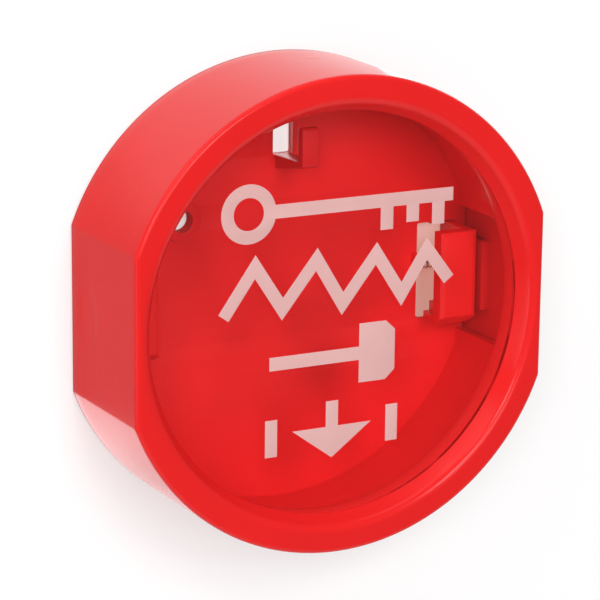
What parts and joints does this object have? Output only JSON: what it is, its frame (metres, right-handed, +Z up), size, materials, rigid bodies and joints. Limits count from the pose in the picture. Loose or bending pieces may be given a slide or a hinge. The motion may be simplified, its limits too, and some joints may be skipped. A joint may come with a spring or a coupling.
{
  "type": "break glass key box",
  "caption": "Round wall-mounted emergency key box with flattened sides, a pull-off cover holding a printed glass pane, squeeze catches and a key hook.",
  "frame": {"origin": "centre of the back face, on the wall plane", "axes": "+Z up along the wall, -Y out of the wall towards the viewer, +X to the viewer's right"},
  "size_m": [0.1124, 0.0372, 0.12],
  "materials": {
    "red_plastic": "glossy moulded red",
    "glass": "clear with a pale print on its front",
    "spring_wire": "drawn wire"
  },
  "bodies": {
    "base": {"base_plate": "red_plastic", "left_catch_spring": "spring_wire", "right_catch_spring": "spring_wire"},
    "cover": {"cover": "red_plastic", "glass_pane": "glass", "pane_ring": "red_plastic"},
    "left_catch": {"left_catch": "red_plastic"},
    "right_catch": {"right_catch": "red_plastic"}
  },
  "joints": [
    {"name": "cover_pull", "type": "slide", "parent": "base", "child": "cover", "axis": [0, -1, 0], "range_m": [0, 0.045]},
    {"name": "left_catch_squeeze", "type": "slide", "parent": "base", "child": "left_catch", "axis": [1, 0, 0], "range_m": [0, 0.0032], "stiffness_N_per_m": 600, "springref_m": -0.002, "deforming": ["left_catch_spring"]},
    {"name": "right_catch_squeeze", "type": "slide", "parent": "base", "child": "right_catch", "axis": [-1, 0, 0], "range_m": [0, 0.0032], "stiffness_N_per_m": 600, "springref_m": -0.002, "deforming": ["right_catch_spring"]}
  ]
}
